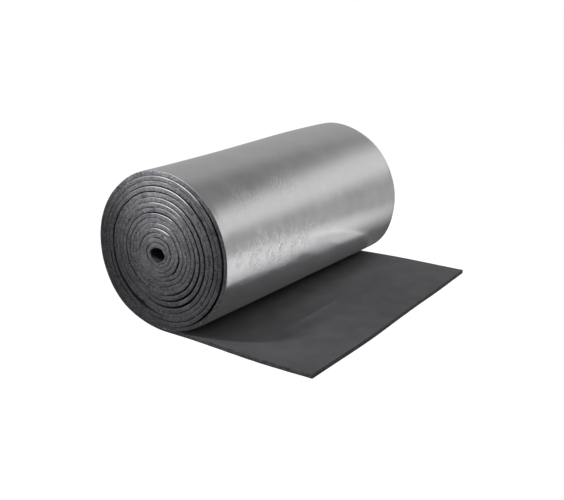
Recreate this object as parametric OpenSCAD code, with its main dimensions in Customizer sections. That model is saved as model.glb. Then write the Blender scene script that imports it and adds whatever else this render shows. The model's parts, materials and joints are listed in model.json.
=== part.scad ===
// Roll of foil-faced foam insulation sheet, lying on the floor with its outer end unrolled.
// The roll's axis runs along Y, the loose end (the tail) lies along +X, foil side down.

/* [Sheet] */
// Width of the sheet, which is the length of the roll
sheet_w = 1000; // [400:10:1500]
// Thickness of the foam
foam_t = 12.8; // [9:0.1:19]
// Thickness of the foil on the foam's outer side
foil_t = 0.2; // [0.1:0.05:0.5]

/* [Winding] */
// Diameter of the open bore
bore_d = 50; // [40:1:90]
// Full turns on the roll
turns = 15; // [6:1:20]
// Air gap between turns above the bore
gap_top = 1.8; // [1.4:0.1:3]
// Air gap between turns below the bore, where the roll's weight closes them
gap_bottom = 0.8; // [0.6:0.1:1.4]
// How much further each turn lies toward the tail than the turn inside it
turn_shift = 0.8; // [0.2:0.1:0.9]
// Depth to which the gaps between the turns are open at each end
gap_depth = 12; // [4:1:30]

/* [Tail] */
// Length of sheet that lies unrolled, from the roll's lowest line to the cut end
tail_l = 520; // [400:10:900]

/* [Hidden] */
$fn = 180;

sheet_t = foam_t + foil_t;
pitch_top = sheet_t + gap_top;
pitch_bottom = sheet_t + gap_bottom;
last = turns - 1;

// Height of the whole roll: the bore, one turn's thickness each side of it, and the turns outside that
roll_h = bore_d + 2 * sheet_t + last * pitch_top + turns * pitch_bottom;
roll_r = roll_h / 2;

// Middle of the part's footprint along X, seen from the roll's lowest line
mid_x = (tail_l - roll_r) / 2;

// Each turn is two half turns, a right one that rises and a left one that comes down.
// All the half turns meet level at the top and at the bottom, so the sheet runs on without a kink.
function turn_x(m) = (m - last) * turn_shift;
function turn_top(m) = roll_h - (last - m) * pitch_top;
function turn_bottom(m) = (last - m) * pitch_bottom;
function left_r(m) = (turn_top(m) - turn_bottom(m)) / 2;
function left_z(m) = (turn_top(m) + turn_bottom(m)) / 2;
function right_r(m) = (turn_top(m) - turn_bottom(m - 1)) / 2;
function right_z(m) = (turn_top(m) + turn_bottom(m - 1)) / 2;

// Half of a disc, on the side that side gives: 1 is toward the tail, -1 is away from it
module half_disc(r, side) {
    intersection() {
        circle(r);
        translate([side > 0 ? 0 : -2 * r, -2 * r]) square([2 * r, 4 * r]);
    }
}

module half_ring(r_out, r_in, side) {
    difference() {
        half_disc(r_out, side);
        circle(r_in);
    }
}

// One layer of one turn, from depth_out to depth_in under the sheet's outer face
module turn_layer(m, depth_out, depth_in) {
    translate([turn_x(m), right_z(m)]) half_ring(right_r(m) - depth_out, right_r(m) - depth_in, 1);
    translate([turn_x(m), left_z(m)]) half_ring(left_r(m) - depth_out, left_r(m) - depth_in, -1);
}

// The short level run under the bore that takes a layer from turn m to the turn outside it
module step_layer(m, depth_out, depth_in) {
    translate([turn_x(m), turn_bottom(m) + depth_out]) square([turn_shift, depth_in - depth_out]);
}

module tail_layer(depth_out, depth_in) {
    translate([0, depth_out]) square([tail_l, depth_in - depth_out]);
}

// Everything inside the outer face of turn m, less depth all round
module turn_filled(m, depth) {
    translate([turn_x(m), right_z(m)]) half_disc(right_r(m) - depth, 1);
    translate([turn_x(m), left_z(m)]) half_disc(left_r(m) - depth, -1);
}

module bore_outline() {
    translate([turn_x(0), right_z(0)]) circle(d = bore_d);
}

// Stands an outline in X and Z up as a length of the roll that starts at y
module along_roll(y, length) {
    translate([-mid_x, y + length, 0]) rotate([90, 0, 0]) linear_extrude(length) children();
}

// The two end stretches, where the gaps between the turns are open
module both_ends() {
    along_roll(-sheet_w / 2, gap_depth) children();
    along_roll(sheet_w / 2 - gap_depth, gap_depth) children();
}

// The wound turns as one body, with the tail and the bore
module closed_section() {
    difference() {
        union() {
            turn_filled(last, foil_t);
            tail_layer(foil_t, sheet_t);
        }
        bore_outline();
    }
}

// The sheet's own section, turn by turn, with its gaps
module open_section() {
    difference() {
        union() {
            turn_filled(0, foil_t);
            for (m = [1 : last]) turn_layer(m, foil_t, sheet_t);
            for (m = [0 : last - 1]) step_layer(m, foil_t, sheet_t);
            tail_layer(foil_t, sheet_t);
        }
        bore_outline();
    }
}

// The foam: one turned body with its bore and its tail, and the turns open at both ends
module foam_sheet() {
    color("dimgray") union() {
        along_roll(gap_depth - sheet_w / 2, sheet_w - 2 * gap_depth) closed_section();
        both_ends() open_section();
    }
}

// The foil: on the outer turn and under the tail, over the sheet's full width
module foil_facing() {
    color("silver") along_roll(-sheet_w / 2, sheet_w) {
        turn_layer(last, 0, foil_t);
        tail_layer(0, foil_t);
    }
}

foam_sheet();
foil_facing();
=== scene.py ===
"""Roll of foil-faced foam insulation sheet: its wound turns, its unrolled tail and the studio round it."""

import json
import logging
import math
from collections.abc import Callable
from dataclasses import dataclass
from enum import Enum

import bmesh
import bpy
import numpy as np
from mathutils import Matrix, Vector, noise

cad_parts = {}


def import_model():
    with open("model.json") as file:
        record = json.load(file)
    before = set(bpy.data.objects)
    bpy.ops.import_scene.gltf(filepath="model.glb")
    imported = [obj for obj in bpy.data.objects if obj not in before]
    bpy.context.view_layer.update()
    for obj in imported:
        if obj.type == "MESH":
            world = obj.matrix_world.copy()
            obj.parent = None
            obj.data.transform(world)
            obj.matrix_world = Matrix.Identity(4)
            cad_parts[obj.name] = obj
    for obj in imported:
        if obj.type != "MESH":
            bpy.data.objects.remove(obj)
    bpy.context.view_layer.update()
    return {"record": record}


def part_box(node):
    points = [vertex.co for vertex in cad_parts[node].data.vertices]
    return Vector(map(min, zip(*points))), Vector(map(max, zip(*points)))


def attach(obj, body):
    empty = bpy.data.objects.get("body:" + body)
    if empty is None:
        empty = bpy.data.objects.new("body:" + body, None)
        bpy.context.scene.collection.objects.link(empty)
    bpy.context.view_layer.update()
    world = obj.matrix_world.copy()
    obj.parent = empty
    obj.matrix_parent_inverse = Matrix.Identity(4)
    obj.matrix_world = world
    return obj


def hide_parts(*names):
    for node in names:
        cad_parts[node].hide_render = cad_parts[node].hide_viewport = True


LOG = logging.getLogger("insulation_roll")
FLAT_MAP = "flat_sheet"
FULL_TURN = 360.0
MILLIMETRE = 0.001
PER_CENT = 0.01
TINY = 1e-6
WHITE = (1.0, 1.0, 1.0)
BLACK = (0.0, 0.0, 0.0)
CURVE_SAMPLES = 721
CURVE_PASSES = 3

Pair = tuple[float, float]
Triple = tuple[float, float, float]


class Slot(Enum):
    """Material slots of the part's record."""

    FOAM = "foam"
    FOIL = "foil"


class RollEnd(Enum):
    """The two ends of the roll, as the side of Y on which each lies."""

    NEAR = -1
    FAR = 1


class NoiseSlice(Enum):
    """Slices of the noise field, one for each use, so that no two uses share a pattern."""

    BROAD_WAVE = 1.5
    FRAY = 3.0
    KNIFE = 3.1
    SHORT_WAVE = 4.0


def smooth_step(value: np.ndarray) -> np.ndarray:
    """Ease from 0 to 1 with level ends.

    Args:
        value: Anything; below 0 gives 0 and above 1 gives 1.

    Returns:
        The eased values.
    """
    held = np.clip(value, 0.0, 1.0)
    return held * held * (3.0 - 2.0 * held)


def soft_curve(pairs: tuple[Pair, ...], reach: int, period: float | None = None) -> np.ndarray:
    """Draw a smooth curve past a few known points.

    Args:
        pairs: Known places and values.
        reach: Samples to each side over which each pass evens the curve out.
        period: Length after which the curve repeats, if it does.

    Returns:
        A row of places and a row of values.
    """
    known, values = np.array(pairs, dtype=float).T
    first, last = (0.0, period) if period else (known[0], known[-1])
    places = np.linspace(first, last, CURVE_SAMPLES)
    curve = np.interp(places, known, values, period=period)
    kernel = np.full(2 * reach + 1, 1.0 / (2 * reach + 1))
    for _ in range(CURVE_PASSES):
        if period:
            curve = np.convolve(np.pad(curve[:-1], reach, mode="wrap"), kernel, mode="valid")
            curve = np.append(curve, curve[0])
        else:
            curve = np.convolve(np.pad(curve, reach, mode="edge"), kernel, mode="valid")
    return np.vstack((places, curve))


@dataclass(frozen=True)
class LooseSpot:
    """A stretch where a turn stands away from the turn inside it.

    Attributes:
        turn: The turn outside the gap, counted from the bore.
        bearing: Middle of the stretch, degrees from the lowest line, rising on the tail's side.
        spread: Degrees to each side over which the gap stays open.
        looseness: Extra width of the gap, in ordinary gaps.
        steepness: Even power by which the gap closes past its spread.
    """

    turn: int
    bearing: float
    spread: float
    looseness: float
    steepness: int = 4

    def at(self, run: np.ndarray) -> np.ndarray:
        """Give the gap's extra width at each run."""
        away = FULL_TURN * (run - self.turn) - self.bearing
        return self.looseness * np.exp(-((away / self.spread) ** self.steepness))


LOOSE_SPOTS = (
    LooseSpot(14, 87, 50, 4.5),
    LooseSpot(12, 106, 46, 2.4),
    LooseSpot(13, 30, 46, 0.8),
    LooseSpot(10, 68, 70, 3.6),
    LooseSpot(9, 66, 68, 3.2),
    LooseSpot(8, 66, 50, 2.4),
    LooseSpot(5, 46, 30, 0.6),
    LooseSpot(4, 70, 30, 3.2),
    LooseSpot(12, 240, 64, 4.4),
    LooseSpot(11, 254, 84, 7.5),
    LooseSpot(7, 246, 70, 6.4),
    LooseSpot(6, 232, 40, 2.0),
    LooseSpot(3, 243, 50, 3.6),
    LooseSpot(2, 225, 30, 0.5),
    LooseSpot(1, 248, 62, 4.6),
)


@dataclass(frozen=True)
class Flap:
    """A stretch where the knife has turned the foil over onto the cut end.

    Attributes:
        turn: The turn that carries the foil, counted from the bore.
        start: Bearing at which the flap begins, degrees from the lowest line, rising on the tail's side.
        stop: Bearing at which it ends.
        share: Its width, as a share of the widest flap.
        fade: Degrees over which it widens at each end.
    """

    turn: int
    start: float
    stop: float
    share: float
    fade: float = 7.0

    def at(self, run: np.ndarray) -> np.ndarray:
        """Give the flap's width at each run, as a share of the widest flap."""
        bearing = FULL_TURN * (run - self.turn)
        begun = smooth_step((bearing - self.start) / self.fade)
        left = smooth_step((self.stop - bearing) / self.fade)
        return self.share * (begun * left)


FLAPS = (
    Flap(13, 134, 207, 1.00),
    Flap(13, 119, 133, 0.45),
    Flap(11, 140, 210, 0.95),
    Flap(9, 140, 198, 0.75),
    Flap(8, 140, 196, 0.85),
    Flap(7, 142, 190, 0.65),
    Flap(6, 146, 192, 0.55),
    Flap(4, 144, 184, 0.60),
    Flap(3, 139, 200, 0.90),
    Flap(2, 141, 158, 0.65),
    Flap(2, 163, 195, 0.70),
    Flap(13, 62, 74, 0.80),
    Flap(9, 56, 64, 0.50),
    Flap(8, 44, 52, 0.45),
    Flap(8, 80, 89, 0.45),
    Flap(4, 30, 42, 0.60),
    Flap(3, 7, 22, 0.50),
    Flap(3, 25, 47, 0.80),
)


@dataclass(frozen=True)
class Ripple:
    """A slow wave along the winding.

    Attributes:
        height: How far it rises and falls.
        rate: Waves in one turn.
        phase: Share of a wave that is past at the inner end.
    """

    height: float
    rate: float
    phase: float

    def at(self, run: np.ndarray) -> np.ndarray:
        """Give the wave's height at each run."""
        return self.height * np.sin(math.tau * (self.rate * run + self.phase))


GAP_RIPPLE = Ripple(0.3, 1.37, 0.1)
CREEP_RIPPLES = (Ripple(0.0009, 0.61, 0.2), Ripple(0.0006, 1.37, 0.45))

# How far the outer turns stand out from a true round, at four places from the near end to the far end.
# Each pair is a bearing in degrees and a distance in millimetres.
OUTLINES = (
    (
        (0, 0.0), (40, -0.4), (66, -0.9), (74, -0.4), (81, 0.0), (89, -1.1), (97, -0.3), (104, -0.7),
        (113, 0.2), (125, 0.0), (180, 0.0), (200, -1.0), (217, -2.6), (236, 0.8), (258, 3.2), (288, 4.6),
        (312, 4.8), (335, 1.6),
    ),
    (
        (0, 0.0), (12, 0.4), (24, 3.4), (36, 7.0), (47, 8.2), (56, 7.4), (65, 5.4), (73, 3.4),
        (81, 2.0), (90, 0.8), (100, 0.0), (110, -1.1), (122, -1.2), (138, -0.8), (160, 0.0), (180, 1.4),
        (198, 2.6), (225, 1.0), (260, 0.0),
    ),
    (
        (0, 0.0), (10, 0.7), (24, 7.2), (36, 14.6), (47, 16.8), (56, 15.0), (65, 11.0), (73, 7.0),
        (81, 4.2), (90, 2.4), (100, 0.2), (110, -2.1), (122, -2.6), (140, -1.6), (160, 2.0), (180, 8.0),
        (198, 11.6), (228, 5.6), (265, 0.0),
    ),
    (
        (0, 0.0), (10, 1.0), (24, 11.0), (36, 22.0), (47, 25.0), (56, 22.6), (65, 16.8), (73, 10.8),
        (81, 6.6), (90, 4.0), (100, 0.4), (110, -3.0), (122, -3.8), (138, -3.6), (152, -2.4), (162, 0.0),
        (174, 5.4), (187, 11.4), (203, 12.4), (235, 6.4), (280, 0.0),
    ),
)

# How much thicker the sheet stands than its nominal thickness, squeezed at the foot and free at the top.
# Each pair is a bearing in degrees and a share in per cent.
SWELLING = (
    (0, -5.5), (40, -3.0), (90, -0.5), (140, 5.5), (180, 9.5),
    (212, 6.5), (240, 0.0), (265, -2.5), (310, -5.0),
)

# The tail isn't cut quite square. Each pair is a place in metres and a distance in millimetres.
# The near edge's shift and the far edge's lift go by the reach from the bore,
# and the cut end's shift by the place across.
NEAR_EDGE = ((0.0, 10.2), (0.10, 9.4), (0.22, 0.4), (0.32, -7.2), (0.41, -9.8), (0.53, -6.8))
CUT_END = ((-0.5, -5.5), (-0.4, -1.6), (-0.2, 5.2), (0.0, 1.2), (0.12, -0.4), (0.31, 2.8), (0.5, 1.8))
FAR_LIFT = ((0.0, 0.0), (0.2, 5.5), (0.3, 6.5), (0.42, 4.8), (0.53, 3.4))

# Corners of the squeezed bore: bearing in degrees and distance from its middle in metres
BORE_CORNERS = (
    (0.0, 0.0265),
    (52.0, 0.0245),
    (90.0, 0.0270),
    (138.0, 0.0225),
    (205.0, 0.0200),
    (258.0, 0.0265),
    (296.0, 0.0265),
)


@dataclass
class Winding:
    """Where each point of the flat sheet lies once the sheet is rolled up.

    A point is given by its run, its place across and its depth. The run counts turns from the inner end,
    and its last whole number is the tail, from the roll's lowest line to the cut end.

    Attributes:
        width: Width of the sheet.
        height: Height of the roll.
        bore_x: Place of the bore's middle along X.
        bore_z: Height of the bore's middle.
        lowest_x: Place along X of the line on which the roll rests.
        tail_x: Place along X of the tail's cut end.
        foil_thickness: Thickness of the foil.
        foam_thickness: Thickness of the foam.
        turns: Full turns on the roll.
        seat_gap: Air between the tail and the roll's outer turn at the lowest line.
        stations: Points worked out in each turn.
        tip_share: Thickness of the crushed inner end, as a share of the sheet's.
        tip_turns: Turns over which the crushed end thickens.
        swelling_fade: Turns before the tail over which the swelling dies away.
        corner_round: Degrees to each side over which the bore's corners are rounded.
        gap_mean: Weight of an ordinary gap.
        gap_lean: How much more a gap weighs on the loose side of the roll.
        loose_side: Bearing of the loose side in degrees.
        bulge_power: Power by which the bulge dies away toward the bore.
        core_creep: How far the innermost turn has slid out at the near end.
        knife_waver: How far the cut ends wander from a straight cut.
        knife_waves: Wavers of the knife in a metre.
        knife_step: Distance between the marks at which the waver is worked out.
        knife_reach: How far in from a cut end the waver is felt.
        slack_turns: Turns before the tail over which its slack begins.
        skew_start: Reach at which the cut end's skew begins.
        skew_length: Length of tail over which it grows.
        lift_start: Place across at which the far edge begins to lift, as a share of the width.
        lift_share: Share of the width over which it lifts.
        edge_round: Radius of the foam's cut edges.
    """

    width: float
    height: float
    bore_x: float
    bore_z: float
    lowest_x: float
    tail_x: float
    foil_thickness: float
    foam_thickness: float = 0.0128
    turns: int = 15
    seat_gap: float = 0.0008
    stations: int = 360
    tip_share: float = 0.25
    tip_turns: float = 0.42
    swelling_fade: float = 0.3
    corner_round: int = 8
    gap_mean: float = 0.5
    gap_lean: float = 0.2
    loose_side: float = 110.0
    bulge_power: int = 3
    core_creep: float = 0.006
    knife_waver: float = 0.0007
    knife_waves: float = 42.0
    knife_step: float = 0.006
    knife_reach: float = 0.03
    slack_turns: float = 0.13
    skew_start: float = 0.2
    skew_length: float = 0.3
    lift_start: float = 0.2
    lift_share: float = 0.3
    edge_round: float = 0.0017

    def __post_init__(self) -> None:
        """Work out the roll's spiral once."""
        self.sheet = self.foil_thickness + self.foam_thickness
        self.tail_length = self.tail_x - self.bore_x
        self.runs = np.linspace(0.0, self.turns, self.turns * self.stations + 1)
        squeeze = self.tip_share + (1.0 - self.tip_share) * smooth_step(self.runs / self.tip_turns)
        swelling = soft_curve(SWELLING, reach=10, period=FULL_TURN)
        swollen = PER_CENT * np.interp(FULL_TURN * (self.runs % 1.0), *swelling)
        swollen *= smooth_step((self.turns - self.runs) / self.swelling_fade)
        self.thickness = self.sheet * squeeze * (1.0 + swollen)
        self.outer = self._outer_face()
        steps = np.diff(self.runs) * math.tau * self.outer[:-1]
        self.lengths = np.concatenate(([0.0], np.cumsum(steps)))
        self.outlines = [soft_curve(pairs, reach=5, period=FULL_TURN) for pairs in OUTLINES]
        self.near_edge = soft_curve(NEAR_EDGE, reach=60)
        self.cut_end = soft_curve(CUT_END, reach=40)
        self.far_lift = soft_curve(FAR_LIFT, reach=60)
        flat_length = self.lengths[-1] + self.tail_length
        self.marks = np.arange(0.0, flat_length + self.knife_step, self.knife_step)
        self.knife = [self._knife_path(end) for end in RollEnd]

    def _knife_path(self, end: RollEnd) -> np.ndarray:
        """Give the knife's wander at each mark along one end, from -1 to 1."""
        path = [(mark * self.knife_waves, NoiseSlice.KNIFE.value, end.value) for mark in self.marks]
        return np.array([noise.noise(Vector(point)) for point in path])

    def _roll_outline(self, bearing: np.ndarray) -> np.ndarray:
        """Distance from the bore's middle to the outside of the roll.

        Args:
            bearing: Radians from the lowest line, rising on the tail's side.

        Returns:
            The distances in metres.
        """
        low = np.where(bearing <= math.pi, self.sheet + self.seat_gap, 0.0)
        radius = (self.height - low) / 2.0
        off_x = self.bore_x - self.lowest_x
        off_z = self.bore_z - (self.height + low) / 2.0
        along = off_x * np.sin(bearing) - off_z * np.cos(bearing)
        return np.sqrt(radius**2 - off_x**2 - off_z**2 + along**2) - along

    def _bore_outline(self, bearing: np.ndarray) -> np.ndarray:
        """Distance from the bore's middle to its squeezed wall.

        Args:
            bearing: Radians from the lowest line, evenly spread over one turn.

        Returns:
            The distances in metres.
        """
        wall = np.zeros_like(bearing)
        ends = BORE_CORNERS[1:] + ((FULL_TURN + BORE_CORNERS[0][0], BORE_CORNERS[0][1]),)
        for (low, low_r), (high, high_r) in zip(BORE_CORNERS, ends):
            start = math.radians(low)
            stop = math.radians(high)
            side = (bearing >= start) & (bearing < stop)
            rise = low_r * np.sin(bearing[side] - start) + high_r * np.sin(stop - bearing[side])
            wall[side] = low_r * high_r * math.sin(stop - start) / rise
        reach = self.stations * self.corner_round // int(FULL_TURN)
        turned = [np.roll(wall, shift) for shift in range(-reach, reach + 1)]
        return np.mean(turned, axis=0)

    def _looseness(self, run: np.ndarray) -> np.ndarray:
        """Share of the free room that each gap takes.

        Args:
            run: Turns from the inner end.

        Returns:
            Weights above 0.
        """
        weight = self.gap_mean + self.gap_lean * np.cos(math.tau * run - math.radians(self.loose_side))
        weight *= 1.0 + GAP_RIPPLE.at(run)
        for spot in LOOSE_SPOTS:
            weight += spot.at(run)
        return weight

    def _outer_face(self) -> np.ndarray:
        """Distance of the sheet's foil face from the bore's middle at every station.

        Returns:
            The distances in metres, continuous from turn to turn.
        """
        count = self.stations
        bearing = np.linspace(0.0, math.tau, count, endpoint=False)
        weights = self._looseness(self.runs)
        end_weight = weights[-1]
        weights = weights[:-1].reshape(self.turns, count)
        layers = self.thickness[:-1].reshape(self.turns, count)
        bore = self._bore_outline(bearing)
        outline = self._roll_outline(bearing)
        rest = self._roll_outline(np.array([math.tau]))[0]
        room = rest - bore[0] - layers[:, 0].sum() - self.sheet
        first = room / (weights[1:, 0].sum() + end_weight)
        seat = rest - self.sheet - first * end_weight - outline[0]
        outline = outline + seat * (1.0 - smooth_step(bearing))
        climb = layers[0, 0] + first * weights[1, 0]
        bore = bore + climb * bearing / math.tau
        scale = (outline - bore - layers.sum(axis=0)) / weights[1:].sum(axis=0)
        faces = np.empty((self.turns, count))
        inner = bore
        for turn in range(self.turns):
            if turn:
                inner = faces[turn - 1] + scale * weights[turn]
            faces[turn] = inner + layers[turn]
        return np.concatenate((faces.ravel(), [rest]))

    def tail_reach(self, run: np.ndarray) -> np.ndarray:
        """Give the distance along the tail from the roll's lowest line, 0 on the roll."""
        return np.clip(run - self.turns, 0.0, None) * self.tail_length

    def length_at(self, run: np.ndarray) -> np.ndarray:
        """Length of sheet from the inner end.

        Args:
            run: Turns from the inner end, the tail included.

        Returns:
            The lengths in metres.
        """
        return np.interp(run, self.runs, self.lengths) + self.tail_reach(run)

    def creep(self, run: np.ndarray) -> np.ndarray:
        """How far the turns have slid out past the near end.

        Args:
            run: Turns from the inner end.

        Returns:
            The slip in metres, 0 on the tail.
        """
        core = self.core_creep * (1.0 - run / self.turns)
        wander = sum(ripple.at(run) for ripple in CREEP_RIPPLES)
        return np.where(run < self.turns, core + wander * smooth_step(self.turns - run), 0.0)

    def bulge(self, run: np.ndarray, across: np.ndarray) -> np.ndarray:
        """How far the outer turns stand out from a true round.

        Args:
            run: Turns from the inner end.
            across: Place along the roll, from its middle.

        Returns:
            The distances in metres.
        """
        bearing = FULL_TURN * (run % 1.0)
        along = 2.0 * across / self.width
        places = np.linspace(-1.0, 1.0, len(self.outlines))
        total = np.zeros_like(along)
        for place, (bearings, heights) in zip(places, self.outlines):
            others = places[places != place]
            share = np.prod([(along - other) / (place - other) for other in others], axis=0)
            total += share * np.interp(bearing, bearings, heights)
        return MILLIMETRE * total * (np.clip(run, 0.0, self.turns) / self.turns) ** self.bulge_power

    def drift(self, run: np.ndarray, across: np.ndarray) -> np.ndarray:
        """How far each point lies off its straight line across, from the knife and the slack in the tail.

        Args:
            run: Turns from the inner end, the tail included.
            across: Place along the roll, from its middle.

        Returns:
            The distances along Y in metres.
        """
        length = self.length_at(run)
        near, far = (np.interp(length, self.marks, row) for row in self.knife)
        edge = smooth_step((np.abs(across) - self.width / 2.0 + self.knife_reach) / self.knife_reach)
        cut = self.knife_waver * edge * np.where(across < 0.0, near, far)
        begun = smooth_step((run - self.turns + self.slack_turns) / self.slack_turns)
        slack = MILLIMETRE * np.interp(self.tail_reach(run), *self.near_edge) * begun
        return cut + slack * (0.5 - across / self.width)

    def place(self, run: np.ndarray, across: np.ndarray, depth: np.ndarray) -> np.ndarray:
        """Roll up points of the flat sheet.

        Args:
            run: Turns from the inner end, the tail included.
            across: Place along the roll, from its middle.
            depth: Depth under the foil's outer face.

        Returns:
            The points in the part's frame, one to a row.
        """
        bearing = math.tau * np.clip(run, 0.0, self.turns)
        face = np.interp(run, self.runs, self.outer)
        squeeze = np.interp(run, self.runs, self.thickness) / self.sheet
        radius = face - depth * squeeze + self.bulge(run, across)
        reach = self.tail_reach(run)
        skewed = smooth_step((reach - self.skew_start) / self.skew_length)
        skew = MILLIMETRE * np.interp(across, *self.cut_end) * skewed
        lifted = smooth_step((across / self.width - self.lift_start) / self.lift_share)
        lift = MILLIMETRE * np.interp(reach, *self.far_lift) * lifted
        tail = run > self.turns
        x = np.where(tail, self.bore_x + reach + skew, self.bore_x + radius * np.sin(bearing))
        y = across + self.drift(run, across) - self.creep(run)
        z = np.where(tail, depth + lift, self.bore_z - radius * np.cos(bearing))
        return np.column_stack((x, y, z))


def flat_slab(bm: bmesh.types.BMesh, runs: int, columns: int, thickness: float) -> None:
    """Make a flat slab one unit long and wide, from 0 along X and about the middle of Y.

    Args:
        bm: The empty mesh to fill.
        runs: Segments along X.
        columns: Segments along Y.
        thickness: Height of the slab above 0.
    """
    bmesh.ops.create_grid(bm, x_segments=runs, y_segments=columns, size=0.5)
    raised = bmesh.ops.extrude_face_region(bm, geom=bm.faces[:])
    lifted = [part for part in raised["geom"] if isinstance(part, bmesh.types.BMVert)]
    bmesh.ops.translate(bm, verts=lifted, vec=(0.0, 0.0, thickness))
    bmesh.ops.translate(bm, verts=bm.verts[:], vec=(0.5, 0.0, 0.0))
    bmesh.ops.recalc_face_normals(bm, faces=bm.faces[:])


def crease_sharp_edges(bm: bmesh.types.BMesh, angle: float = 0.9) -> None:
    """Shade the faces smooth, apart from the edges between cut faces.

    Args:
        bm: The mesh.
        angle: Angle in radians above which an edge stays sharp.
    """
    for face in bm.faces:
        face.smooth = True
    for edge in bm.edges:
        edge.smooth = edge.calc_face_angle(0.0) < angle


def move_points(bm: bmesh.types.BMesh, route: Callable[[np.ndarray], np.ndarray]) -> None:
    """Move every vertex of a mesh.

    Args:
        bm: The mesh.
        route: Gives the new places, one to a row, for the old ones.
    """
    places = np.array([vert.co[:] for vert in bm.verts])
    for vert, place in zip(bm.verts, route(places)):
        vert.co = place


def finish_piece(bm: bmesh.types.BMesh, name: str, finishes: list[bpy.types.Material]) -> bpy.types.Object:
    """Turn a mesh into a piece in the scene.

    Args:
        bm: The mesh, which is freed.
        name: Name of the piece.
        finishes: Its materials in slot order.

    Returns:
        The piece.
    """
    mesh = bpy.data.meshes.new(name)
    bm.to_mesh(mesh)
    bm.free()
    for finish in finishes:
        mesh.materials.append(finish)
    piece = bpy.data.objects.new(name, mesh)
    bpy.context.scene.collection.objects.link(piece)
    return piece


@dataclass(frozen=True)
class Ramp:
    """A range that is mapped onto another and held at its ends.

    Attributes:
        low: Start of the old range.
        high: End of the old range.
        bottom: Start of the new range.
        top: End of the new range.
    """

    low: float
    high: float
    bottom: float = 0.0
    top: float = 1.0


class NodeBoard:
    """Adds and joins the nodes of one shader tree."""

    def __init__(self, tree: bpy.types.NodeTree) -> None:
        """Keep the tree that the nodes go into."""
        self.tree = tree

    def join(self, value: object, target: bpy.types.NodeSocket) -> None:
        """Join a socket to an input, or set the input to a plain value."""
        if isinstance(value, bpy.types.NodeSocket):
            self.tree.links.new(value, target)
        else:
            target.default_value = value

    def fill(self, node: bpy.types.Node, values: dict[str | int, object]) -> None:
        """Set or join several inputs of a node, by name or number."""
        for name, value in values.items():
            self.join(value, node.inputs[name])

    def add(
        self, kind: str, values: dict[str | int, object] | None = None, **settings: object
    ) -> bpy.types.Node:
        """Add a node.

        Args:
            kind: Blender's name for the node's type.
            values: Values of its sockets, by name or number. A socket as value is joined.
            settings: The node's own settings.

        Returns:
            The node.
        """
        node = self.tree.nodes.new(kind)
        for name, setting in settings.items():
            setattr(node, name, setting)
        self.fill(node, values or {})
        return node

    def math(self, operation: str, first: object, second: object = 0.0) -> bpy.types.NodeSocket:
        """Add a Math node.

        Args:
            operation: What it works out.
            first: Its first number or socket.
            second: Its second number or socket.

        Returns:
            The result's socket.
        """
        return self.add("ShaderNodeMath", {0: first, 1: second}, operation=operation).outputs[0]

    def times(self, first: object, second: object) -> bpy.types.NodeSocket:
        """Multiply two numbers or sockets."""
        return self.math("MULTIPLY", first, second)

    def blend(self, factor: object, first: object, second: object) -> bpy.types.NodeSocket:
        """Mix two colours.

        Args:
            factor: Share of the second colour.
            first: The colour at 0.
            second: The colour at 1.

        Returns:
            The mixed colour's socket.
        """
        node = self.add("ShaderNodeMix", data_type="RGBA")
        for place, value in (("Factor_Float", factor), ("A_Color", first), ("B_Color", second)):
            self.join(value, next(socket for socket in node.inputs if socket.identifier == place))
        return next(socket for socket in node.outputs if socket.identifier == "Result_Color")

    def span(self, value: object, ramp: Ramp) -> bpy.types.NodeSocket:
        """Map a number onto another range.

        Args:
            value: The number or socket.
            ramp: The two ranges.

        Returns:
            The mapped value's socket.
        """
        old = {"Value": value, "From Min": ramp.low, "From Max": ramp.high}
        new = {"To Min": ramp.bottom, "To Max": ramp.top}
        return self.add("ShaderNodeMapRange", old | new, clamp=True).outputs["Result"]


def opaque(colour: Triple) -> tuple[float, float, float, float]:
    """Give a colour its full opacity."""
    return (*colour, 1.0)


def start_material(name: str) -> tuple[bpy.types.Material, NodeBoard, bpy.types.Node]:
    """Make a material.

    Args:
        name: Its name.

    Returns:
        The material, the board for its nodes and its Principled BSDF.
    """
    material = bpy.data.materials.new(name)
    material.use_nodes = True
    return material, NodeBoard(material.node_tree), material.node_tree.nodes["Principled BSDF"]


@dataclass(frozen=True)
class CreaseSet:
    """Foil creases that all lean one way.

    Attributes:
        lean: Their lean from the run of the sheet, in radians.
        length: Their length in metres.
        width: Their distance apart in metres.
    """

    lean: float
    length: float
    width: float


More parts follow.
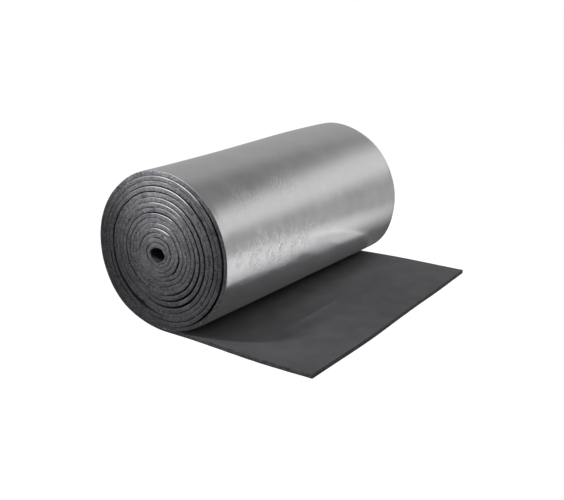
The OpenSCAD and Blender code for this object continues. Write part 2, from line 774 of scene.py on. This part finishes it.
@dataclass
class EffectGroups:
    """Shader node groups that several finishes share.

    Attributes:
        cloud_to_cell: Clouds in the foam for each of its cells.
        cell_share: Weight of a cell's own shade beside the clouds.
        cell_tones: Spread of the foam's tones.
        flecks: The palest cells, and how far they stand out.
        cloud_relief: Height of the clouds, in cell heights.
        blotch_tones: Spread of the soft patches.
        crease_sets: The foil's long creases and its short ones.
        crease_edge: How a crease's height falls off to its sides.
    """

    cloud_to_cell: float = 0.36
    cell_share: float = 0.45
    cell_tones: Ramp = Ramp(0.40, 1.05)
    flecks: Ramp = Ramp(0.90, 0.96, 0.0, 0.4)
    cloud_relief: float = 0.8
    blotch_tones: Ramp = Ramp(0.32, 0.68)
    crease_sets: tuple[CreaseSet, ...] = (CreaseSet(0.73, 0.034, 0.0062), CreaseSet(-0.35, 0.011, 0.0062))
    crease_edge: Ramp = Ramp(0.0, 0.09, 1.0, 0.0)

    def __post_init__(self) -> None:
        """Build each group once."""
        self.cells = self._cells()
        self.blotches = self._blotches()
        self.crinkles = self._crinkles()

    def patches(self, board: NodeBoard, place: bpy.types.NodeSocket, scale: float) -> bpy.types.NodeSocket:
        """Add soft patches to a material, so many in a metre."""
        return board.add("ShaderNodeGroup", {0: place, 1: scale}, node_tree=self.blotches).outputs[0]

    @staticmethod
    def _open(name: str, takes: dict[str, str], gives: dict[str, str]) -> tuple[NodeBoard, bpy.types.Node]:
        """Start a group.

        Args:
            name: Name of the group.
            takes: Its inputs, name to socket type.
            gives: Its outputs, name to socket type.

        Returns:
            The group's board and its input node.
        """
        tree = bpy.data.node_groups.new(name, "ShaderNodeTree")
        for label, kind in takes.items():
            tree.interface.new_socket(name=label, in_out="INPUT", socket_type=kind)
        for label, kind in gives.items():
            tree.interface.new_socket(name=label, in_out="OUTPUT", socket_type=kind)
        board = NodeBoard(tree)
        return board, board.add("NodeGroupInput")

    def _cells(self) -> bpy.types.NodeTree:
        """Closed foam cells: a shade for each cell and the height of its wall."""
        takes = {"Vector": "NodeSocketVector", "Cells per metre": "NodeSocketFloat"}
        gives = {"Shade": "NodeSocketFloat", "Height": "NodeSocketFloat"}
        board, given = self._open("foam_cells", takes, gives)
        fine = {"Vector": given.outputs[0], "Scale": given.outputs[1]}
        cell = board.add("ShaderNodeTexVoronoi", fine, feature="F1")
        shade = board.add("ShaderNodeSeparateColor", {0: cell.outputs["Color"]}).outputs[0]
        coarse = board.times(given.outputs[1], self.cloud_to_cell)
        cloudy = {"Vector": given.outputs[0], "Scale": coarse, "Detail": 3.0}
        cloud = board.add("ShaderNodeTexNoise", cloudy).outputs[0]
        mixed = board.math("ADD", board.times(shade, self.cell_share), cloud)
        shown = board.math("ADD", board.span(mixed, self.cell_tones), board.span(shade, self.flecks))
        pit = board.math("SUBTRACT", 1.0, cell.outputs["Distance"])
        height = board.math("ADD", pit, board.times(cloud, self.cloud_relief))
        board.add("NodeGroupOutput", {0: shown, 1: height})
        return board.tree

    def _blotches(self) -> bpy.types.NodeTree:
        """Soft cloudy patches, from 0 to 1."""
        takes = {"Vector": "NodeSocketVector", "Patches per metre": "NodeSocketFloat"}
        board, given = self._open("soft_blotches", takes, {"Mask": "NodeSocketFloat"})
        values = {"Vector": given.outputs[0], "Scale": given.outputs[1], "Detail": 4.0, "Roughness": 0.55}
        cloud = board.add("ShaderNodeTexNoise", values)
        board.add("NodeGroupOutput", {0: board.span(cloud.outputs[0], self.blotch_tones)})
        return board.tree

    def _crinkles(self) -> bpy.types.NodeTree:
        """Fine creases in foil: thin leaning lines with a net of shorter ones across them."""
        gives = {"Long": "NodeSocketFloat", "Short": "NodeSocketFloat"}
        board, given = self._open("foil_crinkles", {"Vector": "NodeSocketVector"}, gives)
        lines = []
        for creases in self.crease_sets:
            size = (creases.length, creases.width, 1.0)
            turned = {"Vector": given.outputs[0], "Rotation": (0.0, 0.0, creases.lean), "Scale": size}
            mapped = board.add("ShaderNodeMapping", turned, vector_type="TEXTURE").outputs[0]
            values = {"Vector": mapped, "Scale": 1.0, "Detail": 1.5, "Distortion": 0.4}
            cloud = board.add("ShaderNodeTexNoise", values).outputs[0]
            away = board.math("ABSOLUTE", board.math("SUBTRACT", cloud, 0.5))
            lines.append(board.span(away, self.crease_edge))
        board.add("NodeGroupOutput", {0: lines[0], 1: lines[1]})
        return board.tree


@dataclass(frozen=True)
class FoamFinish:
    """Dark closed-cell foam, with painted shade on its skin inside the roll and in the bore.

    Attributes:
        name: Name of the material.
        dark: Colour of the darker cells and patches.
        light: Colour of the lighter ones.
        cells: Cells in a metre.
        patches: Cloudy patches in a metre.
        speckle: Share of the colour that follows the cells, the rest following the patches.
        relief: Depth of the cells' relief in metres.
        roughness: Roughness of the surface, at its smoothest and at its roughest.
        painted_shade_share: Painted shade: share by which the colour falls off toward black inside the
            roll and in the bore, above the tail.
        inside: Painted shade: the colour inside the roll and in the bore, where little light comes.
        above_tail: Heights between which the colour changes from the tail's to the painted shade inside.
        sheen: Level of the surface's reflections.
    """

    name: str
    dark: Triple
    light: Triple
    cells: float
    patches: float
    speckle: float
    relief: float
    roughness: Pair
    painted_shade_share: float = 0.0
    inside: Triple = (0.004, 0.004, 0.0045)
    above_tail: Pair = (0.024, 0.034)
    sheen: float = 0.35

    def make(self, groups: EffectGroups) -> bpy.types.Material:
        """Build the material.

        Args:
            groups: The shared effects.

        Returns:
            The material.
        """
        material, board, shader = start_material(self.name)
        place = board.add("ShaderNodeTexCoord").outputs["Object"]
        cells = board.add("ShaderNodeGroup", {0: place, 1: self.cells}, node_tree=groups.cells).outputs
        grain = board.times(cells["Shade"], self.speckle)
        cloud = board.times(groups.patches(board, place, self.patches), 1.0 - self.speckle)
        outside = board.blend(board.math("ADD", grain, cloud), opaque(self.dark), opaque(self.light))
        height = board.add("ShaderNodeSeparateXYZ", {0: place}).outputs["Z"]
        # Painted shade: the skin darkens toward black inside the roll and in the bore, above the tail.
        painted_shade_share = board.span(height, Ramp(*self.above_tail, 0.0, self.painted_shade_share))
        relief = {"Height": cells["Height"], "Distance": self.relief, "Strength": 1.0}
        looks = {
            "Base Color": board.blend(painted_shade_share, outside, opaque(self.inside)),
            "Roughness": board.span(cells["Shade"], Ramp(0.0, 1.0, *self.roughness)),
            "Specular IOR Level": self.sheen,
            "Normal": board.add("ShaderNodeBump", relief).outputs[0],
        }
        board.fill(shader, looks)
        return material


@dataclass(frozen=True)
class FoilFinish:
    """Satin aluminium foil, finely creased where the roll has been handled, with a painted highlight on
    the creases' crests.

    Attributes:
        name: Name of the material.
        dull: Colour of the duller patches.
        bright: Colour of the brighter ones.
        roughness: Roughness at its smoothest and at its roughest.
        crease: Depth of the fine creases in metres.
        painted_glint: Painted highlight: how much lighter the creases' crests are.
        handled_run: Run at the middle of the creased stretch.
        handled_across: Place across of its middle.
        handled_size: Half its length along the run and half its width.
        tone_patches: Duller and brighter patches in a metre.
        long_share: Weight of the long creases, the rest being the short ones'.
        ragged_patches: Patches in a metre that make the stretch's edge ragged.
        ragged_share: How far they move its edge.
        stretch_edge: How the creases die away at that edge.
        broken_patches: Patches in a metre that break up the creases.
        broken: How far they weaken them.
        faint_patches: Patches in a metre that are faintly creased elsewhere.
        faint: How strongly those are creased.
    """

    name: str
    dull: Triple
    bright: Triple
    roughness: Pair
    crease: float
    painted_glint: float
    handled_run: float
    handled_across: float
    handled_size: Pair
    tone_patches: float = 9.0
    long_share: float = 0.6
    ragged_patches: float = 16.0
    ragged_share: float = 0.35
    stretch_edge: Ramp = Ramp(0.45, 1.15, 1.0, 0.0)
    broken_patches: float = 23.0
    broken: Ramp = Ramp(0.35, 0.65, 0.35, 1.0)
    faint_patches: float = 5.0
    faint: Ramp = Ramp(0.45, 0.9, 0.0, 0.3)

    def make(self, groups: EffectGroups, winding: Winding) -> bpy.types.Material:
        """Build the material.

        Args:
            groups: The shared effects.
            winding: How the sheet is rolled up, which places the creased stretch.

        Returns:
            The material.
        """
        material, board, shader = start_material(self.name)
        flat = board.add("ShaderNodeUVMap", uv_map=FLAT_MAP).outputs[0]
        tones = groups.patches(board, flat, self.tone_patches)
        creases = board.add("ShaderNodeGroup", {"Vector": flat}, node_tree=groups.crinkles).outputs
        long_lines = board.times(creases["Long"], self.long_share)
        crest = board.math("ADD", long_lines, board.times(creases["Short"], 1.0 - self.long_share))
        shown = board.times(crest, self._handled(board, groups, flat, winding))
        base = board.blend(tones, opaque(self.dull), opaque(self.bright))
        # Painted highlight: the creases' crests are lightened toward a brighter colour.
        lit = tuple(min(part + self.painted_glint, 1.0) for part in self.bright)
        relief = {"Height": shown, "Distance": self.crease, "Strength": 1.0}
        looks = {
            "Base Color": board.blend(shown, base, opaque(lit)),
            "Roughness": board.span(tones, Ramp(0.0, 1.0, *self.roughness)),
            "Metallic": 1.0,
            "Normal": board.add("ShaderNodeBump", relief).outputs[0],
        }
        board.fill(shader, looks)
        return material

    def _handled(
        self, board: NodeBoard, groups: EffectGroups, flat: bpy.types.NodeSocket, winding: Winding
    ) -> bpy.types.NodeSocket:
        """Mask the creased places: one handled stretch, and faint patches elsewhere."""
        middle = float(winding.length_at(np.array([self.handled_run]))[0])
        centre = (middle, self.handled_across, 0.0)
        place = {"Vector": flat, "Location": centre, "Scale": (*self.handled_size, 1.0)}
        inside = board.add("ShaderNodeMapping", place, vector_type="TEXTURE").outputs[0]
        away = board.add("ShaderNodeVectorMath", {0: inside}, operation="LENGTH").outputs["Value"]
        moved = board.times(groups.patches(board, flat, self.ragged_patches), self.ragged_share)
        whole = board.span(board.math("ADD", away, moved), self.stretch_edge)
        broken = board.span(groups.patches(board, flat, self.broken_patches), self.broken)
        faint = board.span(groups.patches(board, flat, self.faint_patches), self.faint)
        return board.math("MAXIMUM", board.times(whole, broken), faint)


FOAM_SKIN = FoamFinish(
    name="foam_skin",
    dark=(0.048, 0.048, 0.051),
    light=(0.071, 0.071, 0.074),
    cells=900.0,
    patches=14.0,
    speckle=0.35,
    relief=0.0003,
    roughness=(0.72, 0.9),
    # Painted shade: the skin darkens inside the roll and in the bore.
    painted_shade_share=0.8,
)
FOAM_CUT = FoamFinish(
    name="foam_cut",
    dark=(0.014, 0.014, 0.0155),
    light=(0.098, 0.098, 0.105),
    cells=330.0,
    patches=22.0,
    speckle=0.75,
    relief=0.0012,
    roughness=(0.85, 1.0),
)
FOIL_FACE = FoilFinish(
    name="foil_face",
    dull=(0.60, 0.60, 0.61),
    bright=(0.66, 0.66, 0.67),
    roughness=(0.19, 0.25),
    crease=0.00052,
    painted_glint=0.20,
    handled_run=14.250,
    handled_across=-0.27,
    handled_size=(0.095, 0.38),
)


@dataclass
class WoundFoam:
    """The foam sheet: one strip, wound from the bore out and left flat at its outer end.

    Attributes:
        winding: How the sheet is rolled up.
        segments: Segments along each turn.
        columns: Segments across the sheet.
        face_on: How straight up or down a flat face looks that is skin and not a cut.
    """

    winding: Winding
    segments: int = 96
    columns: int = 8
    face_on: float = 0.99

    def build(self, skin: bpy.types.Material, cut: bpy.types.Material) -> bpy.types.Object:
        """Cut the flat sheet, dress it and roll it up.

        Args:
            skin: Finish of its faces.
            cut: Finish of its cut edges.

        Returns:
            The piece.
        """
        units = self.winding.turns + 1
        bm = bmesh.new()
        flat_slab(bm, units * self.segments, self.columns, self.winding.foam_thickness)
        bmesh.ops.scale(bm, verts=bm.verts[:], vec=(units, self.winding.width, 1.0))
        half = self.winding.width / 2.0 - TINY
        long_edges = [edge for edge in bm.edges if self._is_corner(edge, half)]
        bmesh.ops.bevel(
            bm, geom=long_edges, offset=self.winding.edge_round, offset_type="OFFSET", segments=3,
            profile=0.5, affect="EDGES", material=-1,
        )
        crease_sharp_edges(bm)
        for face in bm.faces:
            face.material_index = 0 if abs(face.normal.z) > self.face_on else 1
        move_points(bm, self._roll_up)
        piece = finish_piece(bm, "wound_foam", [skin, cut])
        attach(piece, "root")
        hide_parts("foam_sheet")
        return piece

    @staticmethod
    def _is_corner(edge: bmesh.types.BMEdge, half: float) -> bool:
        """Tell whether an edge runs along one of the slab's four long corners."""
        first, second = edge.verts
        beside = abs(first.co.y) > half and abs(second.co.y) > half
        return beside and abs(first.co.z - second.co.z) < TINY

    def _roll_up(self, flat: np.ndarray) -> np.ndarray:
        """Give the rolled-up places of flat points.

        Args:
            flat: Run, place across and depth under the foam's own outer face.

        Returns:
            The places in the part's frame.
        """
        run, across, depth = flat.T
        return self.winding.place(run, across, depth + self.winding.foil_thickness)


@dataclass
class FoilFacing:
    """The foil: the whole outer turn and the tail's underside, and its edges on the turns inside.

    Attributes:
        winding: How the sheet is rolled up.
        turn_segments: Segments along the outer turn.
        tail_segments: Segments along the tail.
        columns: Segments across the outer turn.
        edge_segments: Segments along each inner turn.
        edge_columns: Segments across an inner turn's edge strip.
        edge_depth: How far the edge strips reach in from the ends.
        clearance: Air between the foil and the foam's rounded edge.
        turned_over: How far past the sheet's edge the widest flap of foil reaches when it is flat.
        edge_loops: Insets of the extra loops along each cut edge, where the foil bends over.
        billow: Height of the foil's soft waves.
        broad_waves: Broad waves in a metre, along the run and across.
        short_waves: Short waves in a metre, along the run and across.
        short_share: Height of the short waves beside the broad ones.
        wave_level: Level about which the waves rise and fall, held above the foam.
        calm_turns: Part of a turn at each end of the outer face that has no waves.
        calm_edge: Strip along each cut edge that has none.
        fray_waves: Wavers of the inner turns' edges in a metre.
        fray: Mean width of the foil that overhangs the inner turns' edges, its waver, and its least.
        flap_waver: Mean width of a flap, and its waver.
    """

    winding: Winding
    turn_segments: int = 140
    tail_segments: int = 24
    columns: int = 160
    edge_segments: int = 120
    edge_columns: int = 12
    edge_depth: float = 0.035
    clearance: float = 0.0001
    turned_over: float = 0.0042
    edge_loops: tuple[float, ...] = (0.0009, 0.0018, 0.0030)
    billow: float = 0.0010
    broad_waves: Pair = (4.0, 5.0)
    short_waves: Pair = (13.0, 9.0)
    short_share: float = 0.16
    wave_level: float = 0.7
    calm_turns: float = 0.125
    calm_edge: float = 0.02
    fray_waves: float = 30.0
    fray: Triple = (0.10, 0.08, 0.03)
    flap_waver: Pair = (0.85, 0.5)

    def build(self, finish: bpy.types.Material) -> list[bpy.types.Object]:
        """Build and dress the foil.

        Args:
            finish: Its finish.

        Returns:
            The outer face and the two sets of inner edges.
        """
        face = self._face(finish)
        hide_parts("foil_facing")
        edges = [self._edges(end, finish) for end in RollEnd]
        for piece in (face, *edges):
            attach(piece, "root")
        return [face, *edges]

    def _fold(
        self, across: np.ndarray, depth: np.ndarray, width: np.ndarray
    ) -> tuple[np.ndarray, np.ndarray]:
        """Bend the foil over the sheet's cut edges.

        Args:
            across: Flat place across, which may run past the sheet's edge.
            depth: Depth under the foil's outer face.
            width: Share of the spare foil that is there to bend over.

        Returns:
            The bent place across and depth.
        """
        side = np.sign(across)
        bend_round = self.winding.edge_round + self.winding.foil_thickness
        edge = self.winding.width / 2.0 + self.winding.foil_thickness + self.clearance
        past = np.clip(np.abs(across) - (edge - bend_round), 0.0, None) * width
        bend = np.minimum(past / bend_round, math.pi / 2.0)
        down = np.clip(past - bend_round * math.pi / 2.0, 0.0, None)
        straight = np.minimum(np.abs(across), edge - bend_round)
        held = bend_round - depth
        bent_across = straight + held * np.sin(bend)
        bent_depth = bend_round - held * np.cos(bend) + down
        return side * bent_across, bent_depth

    def _face(self, finish: bpy.types.Material) -> bpy.types.Object:
        """Build the foil on the outer turn and under the tail."""
        bm = bmesh.new()
        flat_slab(bm, self.turn_segments + self.tail_segments, self.columns, self.winding.foil_thickness)
        bmesh.ops.scale(bm, verts=bm.verts[:], vec=(1.0, self.winding.width, 1.0))
        half = self.winding.width / 2.0
        for inset in self.edge_loops:
            for end in RollEnd:
                parts = bm.verts[:] + bm.edges[:] + bm.faces[:]
                cut = (0.0, end.value * (half - inset), 0.0)
                bmesh.ops.bisect_plane(bm, geom=parts, plane_co=cut, plane_no=(0.0, 1.0, 0.0))
        share = self.turn_segments / (self.turn_segments + self.tail_segments)
        for vert in bm.verts:
            tail = max(vert.co.x - share, 0.0) / (1.0 - share)
            vert.co.x = self.winding.turns - 1 + min(vert.co.x / share, 1.0) + tail
        crease_sharp_edges(bm)
        self._map_flat(bm)
        move_points(bm, self._roll_up_face)
        return finish_piece(bm, "foil_face", [finish])

    def _edges(self, end: RollEnd, finish: bpy.types.Material) -> bpy.types.Object:
        """Build the foil's edges on the inner turns at one end of the roll."""
        bm = bmesh.new()
        inner = self.winding.turns - 1
        flat_slab(bm, inner * self.edge_segments, self.edge_columns, self.winding.foil_thickness)
        outermost = self.winding.width / 2.0 + self.turned_over
        for vert in bm.verts:
            inward = (0.5 - end.value * vert.co.y) ** 2
            vert.co.x *= inner
            vert.co.y = end.value * (outermost - inward * (self.edge_depth + self.turned_over))
        bmesh.ops.recalc_face_normals(bm, faces=bm.faces[:])
        crease_sharp_edges(bm)
        self._map_flat(bm)
        move_points(bm, self._roll_up_edges)
        return finish_piece(bm, f"foil_edges_{end.name.lower()}", [finish])

    def _map_flat(self, bm: bmesh.types.BMesh) -> None:
        """Keep each point's place on the flat sheet, in metres, as the foil's UV map."""
        layer = bm.loops.layers.uv.new(FLAT_MAP)
        runs = np.array([vert.co.x for vert in bm.verts])
        lengths = self.winding.length_at(runs)
        bm.verts.index_update()
        for face in bm.faces:
            for loop in face.loops:
                loop[layer].uv = (lengths[loop.vert.index], loop.vert.co.y)

    def _roll_up_face(self, flat: np.ndarray) -> np.ndarray:
        """Give the rolled-up places of the outer face's flat points.

        Args:
            flat: Run, place across and depth.

        Returns:
            The places in the part's frame.
        """
        run, across, depth = flat.T
        length = self.winding.length_at(run)
        raised = np.array([self._wave(s, y) for s, y in zip(length, across)])
        before = smooth_step((self.winding.turns - run) / self.calm_turns)
        after = smooth_step((run - self.winding.turns + 1) / self.calm_turns)
        inside = smooth_step((self.winding.width / 2.0 - np.abs(across)) / self.calm_edge)
        across, depth = self._fold(across, depth, np.ones_like(run))
        return self.winding.place(run, across, depth - raised * before * after * inside)

    def _wave(self, length: float, across: float) -> float:
        """Height of the foil's soft waves at a place on the flat sheet."""
        layers = ((self.broad_waves, NoiseSlice.BROAD_WAVE), (self.short_waves, NoiseSlice.SHORT_WAVE))
        broad, short = (
            noise.noise(Vector((length * along, across * aside, layer.value)))
            for (along, aside), layer in layers
        )
        return self.billow * max(broad + self.short_share * short + self.wave_level, 0.0)

    def _roll_up_edges(self, flat: np.ndarray) -> np.ndarray:
        """Give the rolled-up places of the inner edges' flat points.

        Args:
            flat: Run, place across and depth.

        Returns:
            The places in the part's frame.
        """
        run, across, depth = flat.T
        points = zip(self.winding.length_at(run) * self.fray_waves, np.sign(across))
        waver = np.array([noise.noise(Vector((s, NoiseSlice.FRAY.value, y))) for s, y in points])
        mean, spread, least = self.fray
        width = mean + spread * waver
        flap_mean, flap_spread = self.flap_waver
        for flap in FLAPS:
            width = np.maximum(width, flap.at(run) * (flap_mean + flap_spread * waver))
        bent_across, bent_depth = self._fold(across, depth, np.clip(width, least, 1.0))
        return self.winding.place(run, bent_across, bent_depth)


def stand_light(lamp: bpy.types.Light, place: Triple, aim: Triple) -> bpy.types.Object:
    """Put a light in the scene, out of sight of bright surfaces.

    Args:
        lamp: The light's own data.
        place: Where it stands.
        aim: What it points at.

    Returns:
        The light.
    """
    light = bpy.data.objects.new(lamp.name, lamp)
    light.location = place
    light.rotation_euler = (Vector(aim) - Vector(place)).to_track_quat("-Z", "Y").to_euler()
    light.visible_glossy = False
    bpy.context.scene.collection.objects.link(light)
    return light


@dataclass(frozen=True)
class SoftBox:
    """A large soft light.

    Attributes:
        name: Name of the light.
        place: Where it stands.
        aim: What it points at.
        size: Its width and height.
        power: Its power in watts.
    """

    name: str
    place: Triple
    aim: Triple
    size: Pair
    power: float

    def build(self) -> bpy.types.Object:
        """Set up the light."""
        lamp = bpy.data.lights.new(self.name, "AREA")
        lamp.shape = "RECTANGLE"
        lamp.size, lamp.size_y = self.size
        lamp.energy = self.power
        return stand_light(lamp, self.place, self.aim)


@dataclass(frozen=True)
class Spot:
    """A narrow light with a soft edge.

    Attributes:
        name: Name of the light.
        place: Where it stands.
        aim: What it points at.
        cone: Angle of its cone in degrees.
        blend: Share of the cone over which it fades.
        radius: Radius of its bulb, which softens its shadows.
        power: Its power in watts.
    """

    name: str
    place: Triple
    aim: Triple
    cone: float
    blend: float
    radius: float
    power: float

    def build(self) -> bpy.types.Object:
        """Set up the light."""
        lamp = bpy.data.lights.new(self.name, "SPOT")
        lamp.energy = self.power
        lamp.spot_size = math.radians(self.cone)
        lamp.spot_blend = self.blend
        lamp.shadow_soft_size = self.radius
        return stand_light(lamp, self.place, self.aim)


@dataclass(frozen=True)
class MirrorCard:
    """A strip of light that lies face up over the tail and shows in bright surfaces only.

    Attributes:
        name: Name of the strip.
        low: Its lower X and Y.
        high: Its higher X and Y.
        glow: How bright it looks.
        height: How high it lies.
    """

    name: str
    low: Pair
    high: Pair
    glow: float
    height: float = 0.03

    def build(self) -> bpy.types.Object:
        """Set up the strip."""
        lamp = bpy.data.lights.new(self.name, "AREA")
        lamp.shape = "RECTANGLE"
        lamp.size, lamp.size_y = (high - low for low, high in zip(self.low, self.high))
        lamp.energy = self.glow * math.pi * lamp.size * lamp.size_y
        middle = [(low + high) / 2.0 for low, high in zip(self.low, self.high)]
        light = bpy.data.objects.new(self.name, lamp)
        light.location = (*middle, self.height)
        light.rotation_euler = (math.pi, 0.0, 0.0)
        light.visible_camera = False
        light.visible_diffuse = False
        bpy.context.scene.collection.objects.link(light)
        return light


@dataclass(frozen=True)
class Surround:
    """Light from all round: a bright panel to the right, darker overhead, and white to the camera.

    Attributes:
        panel_foot: Heights over which the panel's lower edge comes in.
        panel_head: Heights over which its upper edge goes out.
        panel_side: Its left edge, and how bright it is.
        shade_foot: Heights over which the overhead shade comes in.
        shade_side: Its left edge, and how dark it is.
        lamp_way: Where the bright patch overhead lies.
        lamp_glow: How it falls off to its edge, and how bright it is.
        mirrored_grey: Brightness that bright surfaces mirror elsewhere.
        soft_grey: Brightness that lights matt surfaces.
    """

    panel_foot: Ramp = Ramp(0.10, 0.24)
    panel_head: Ramp = Ramp(0.46, 0.57, 1.0, 0.0)
    panel_side: Ramp = Ramp(-0.05, 0.2, 0.0, 0.42)
    shade_foot: Ramp = Ramp(0.42, 0.58)
    shade_side: Ramp = Ramp(-0.33, -0.05, 0.0, 0.185)
    lamp_way: Triple = (-0.33, -0.40, 0.86)
    lamp_glow: Ramp = Ramp(0.72, 0.95, 0.0, 1.6)
    mirrored_grey: float = 0.46
    soft_grey: float = 0.12

    def build(self) -> None:
        """Set up the world."""
        world = bpy.data.worlds.new("studio")
        world.use_nodes = True
        board = NodeBoard(world.node_tree)
        way = board.add("ShaderNodeTexCoord").outputs["Generated"]
        split = board.add("ShaderNodeSeparateXYZ", {0: way}).outputs
        across, height = split["X"], split["Z"]
        band = board.times(board.span(height, self.panel_foot), board.span(height, self.panel_head))
        panel = board.times(band, board.span(across, self.panel_side))
        shade = board.times(board.span(height, self.shade_foot), board.span(across, self.shade_side))
        toward = {0: way, 1: self.lamp_way}
        above = board.add("ShaderNodeVectorMath", toward, operation="DOT_PRODUCT").outputs["Value"]
        bright = board.math("ADD", panel, board.span(above, self.lamp_glow))
        mirrored = board.math("SUBTRACT", board.math("ADD", bright, self.mirrored_grey), shade)
        path = board.add("ShaderNodeLightPath").outputs
        extra = board.times(board.math("SUBTRACT", mirrored, self.soft_grey), path["Is Glossy Ray"])
        grey = board.math("ADD", extra, self.soft_grey)
        strength = board.math("MAXIMUM", grey, path["Is Camera Ray"])
        board.fill(world.node_tree.nodes["Background"], {"Strength": strength, "Color": opaque(WHITE)})
        bpy.context.scene.world = world


@dataclass(frozen=True)
class PaleFloor:
    """A plain pale floor that sends less light back up than it shows, and glows in mirrors as a painted
    pool of light with painted shade near the roll's foot.

    Attributes:
        half: Half its side.
        pool_middle: Middle of the pool of light that bright surfaces mirror.
        pool: How the pool falls off with the distance from its middle.
        right_strip: Painted shade in mirrors: how the floor's glow brightens from the roll's foot to the
            right.
        left_strip: Painted shade in mirrors: how the glow darkens from the left to the roll's foot.
        seen_glow: Its own light, as the camera sees it.
        seen_grey: Its colour to the camera.
        soft_grey: Its colour to matt surfaces.
    """

    half: float = 60.0
    pool_middle: Triple = (0.4, -0.2, 0.0)
    pool: Ramp = Ramp(0.8, 1.5, 0.95, 0.5)
    right_strip: Ramp = Ramp(0.155, 0.315, 0.12, 1.0)
    left_strip: Ramp = Ramp(-0.45, -0.3, 1.0, 0.15)
    seen_glow: float = 0.98
    seen_grey: Triple = (0.15, 0.15, 0.15)
    soft_grey: Triple = (0.3, 0.3, 0.3)

    def build(self) -> None:
        """Lay the floor."""
        bm = bmesh.new()
        bmesh.ops.create_grid(bm, x_segments=1, y_segments=1, size=self.half)
        material, board, shader = start_material("pale_floor")
        path = board.add("ShaderNodeLightPath").outputs
        place = board.add("ShaderNodeTexCoord").outputs["Object"]
        ends = {0: place, 1: self.pool_middle}
        away = board.add("ShaderNodeVectorMath", ends, operation="DISTANCE").outputs["Value"]
        beside = board.add("ShaderNodeSeparateXYZ", {0: place}).outputs["X"]
        strips = (board.span(beside, self.right_strip), board.span(beside, self.left_strip))
        # Painted light and shade: in mirrors the floor glows as a pool, darker near the roll's foot.
        mirrored = board.times(board.span(away, self.pool), board.math("MAXIMUM", *strips))
        seen = board.times(path["Is Camera Ray"], self.seen_glow)
        shown = board.blend(path["Is Camera Ray"], opaque(BLACK), opaque(self.seen_grey))
        looks = {
            "Base Color": board.blend(path["Is Diffuse Ray"], shown, opaque(self.soft_grey)),
            "Roughness": 1.0,
            "Specular IOR Level": 0.0,
            "Emission Color": opaque(WHITE),
            "Emission Strength": board.math("ADD", seen, board.times(path["Is Glossy Ray"], mirrored)),
        }
        board.fill(shader, looks)
        finish_piece(bm, "floor", [material])


@dataclass
class Studio:
    """Floor, surrounding light, lights and camera.

    Attributes:
        camera_place: Where the camera stands.
        azimuth: Degrees from the view along +Y round to the camera's right.
        elevation: Degrees that the camera looks down.
        lens: Focal length in millimetres.
        sensor: Width of the sensor in millimetres.
        lights: The lights round the part.
    """

    camera_place: Triple = (1.37775, -2.1212, 0.9531)
    azimuth: float = 34.135
    elevation: float = 17.549
    lens: float = 51.3
    sensor: float = 36.0
    lights: tuple[SoftBox | Spot | MirrorCard, ...] = (
        SoftBox("overhead_box", (1.2, 1.05, 1.75), (0.05, 0.2, 0.0), (2.2, 1.6), 31.0),
        SoftBox("front_box", (-0.95, -2.4, 0.55), (-0.25, -0.5, 0.25), (1.2, 0.6), 17.5),
        MirrorCard("first_card", (0.205, -0.32), (0.383, -0.10), 0.67),
        MirrorCard("second_card", (0.200, -0.10), (0.383, 0.06), 0.68),
        MirrorCard("third_card", (0.172, 0.06), (0.383, 0.16), 0.68),
        MirrorCard("fourth_card", (0.160, 0.16), (0.383, 0.32), 0.68),
        MirrorCard("fifth_card", (0.149, 0.32), (0.383, 0.50), 0.64),
        MirrorCard("foot_card", (-0.045, -0.49), (0.22, 0.50), 0.045),
        Spot("tail_spot", (0.42, 0.75, 2.2), (0.12, 0.3, 0.0), 33.0, 0.6, 0.45, 85.0),
        Spot("key_spot", (-0.64, -1.5, 2.15), (0.15, -0.58, 0.08), 23.0, 0.8, 0.15, 178.0),
        Spot("end_spot", (-0.30, -1.45, 1.9), (-0.15, -0.5, 0.50), 12.5, 1.0, 0.10, 830.0),
    )

    def build(self) -> None:
        """Set up everything round the part."""
        self._camera()
        Surround().build()
        PaleFloor().build()
        for light in self.lights:
            light.build()
        bpy.context.scene.view_settings.view_transform = "Standard"

    def _camera(self) -> None:
        """Stand the camera where the view was taken from."""
        view = bpy.data.cameras.new("camera")
        view.lens = self.lens
        view.sensor_width = self.sensor
        camera = bpy.data.objects.new("camera", view)
        turn = math.radians(self.azimuth)
        tilt = math.radians(self.elevation)
        level = math.cos(tilt)
        back = Vector((math.sin(turn) * level, -math.cos(turn) * level, math.sin(tilt)))
        camera.location = self.camera_place
        camera.rotation_euler = back.to_track_quat("Z", "Y").to_euler()
        bpy.context.scene.collection.objects.link(camera)
        bpy.context.scene.camera = camera


def make_winding(frame: dict) -> Winding:
    """Take the winding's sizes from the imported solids.

    Args:
        frame: The loaded frame.

    Returns:
        The winding.
    """
    foam_low, foam_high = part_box("foam_sheet")
    foil_low, foil_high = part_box("foil_facing")
    bore = next(mount for mount in frame["record"]["mounts"] if mount["name"] == "core_bore")
    return Winding(
        width=foam_high.y - foam_low.y,
        height=foil_high.z,
        bore_x=bore["pos_m"][0],
        bore_z=bore["pos_m"][2],
        lowest_x=foil_low.x + foil_high.z / 2.0,
        tail_x=foam_high.x,
        foil_thickness=foam_low.z - foil_low.z,
    )


def main() -> None:
    """Build the roll and its studio."""
    logging.basicConfig(level=logging.INFO, format="%(message)s")
    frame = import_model()
    winding = make_winding(frame)
    groups = EffectGroups()
    foam = WoundFoam(winding).build(FOAM_SKIN.make(groups), FOAM_CUT.make(groups))
    foils = FoilFacing(winding).build(FOIL_FACE.make(groups, winding))
    for piece in (foam, *foils):
        LOG.info("%s: %d faces", piece.name, len(piece.data.polygons))
    Studio().build()


if __name__ == "__main__":
    main()
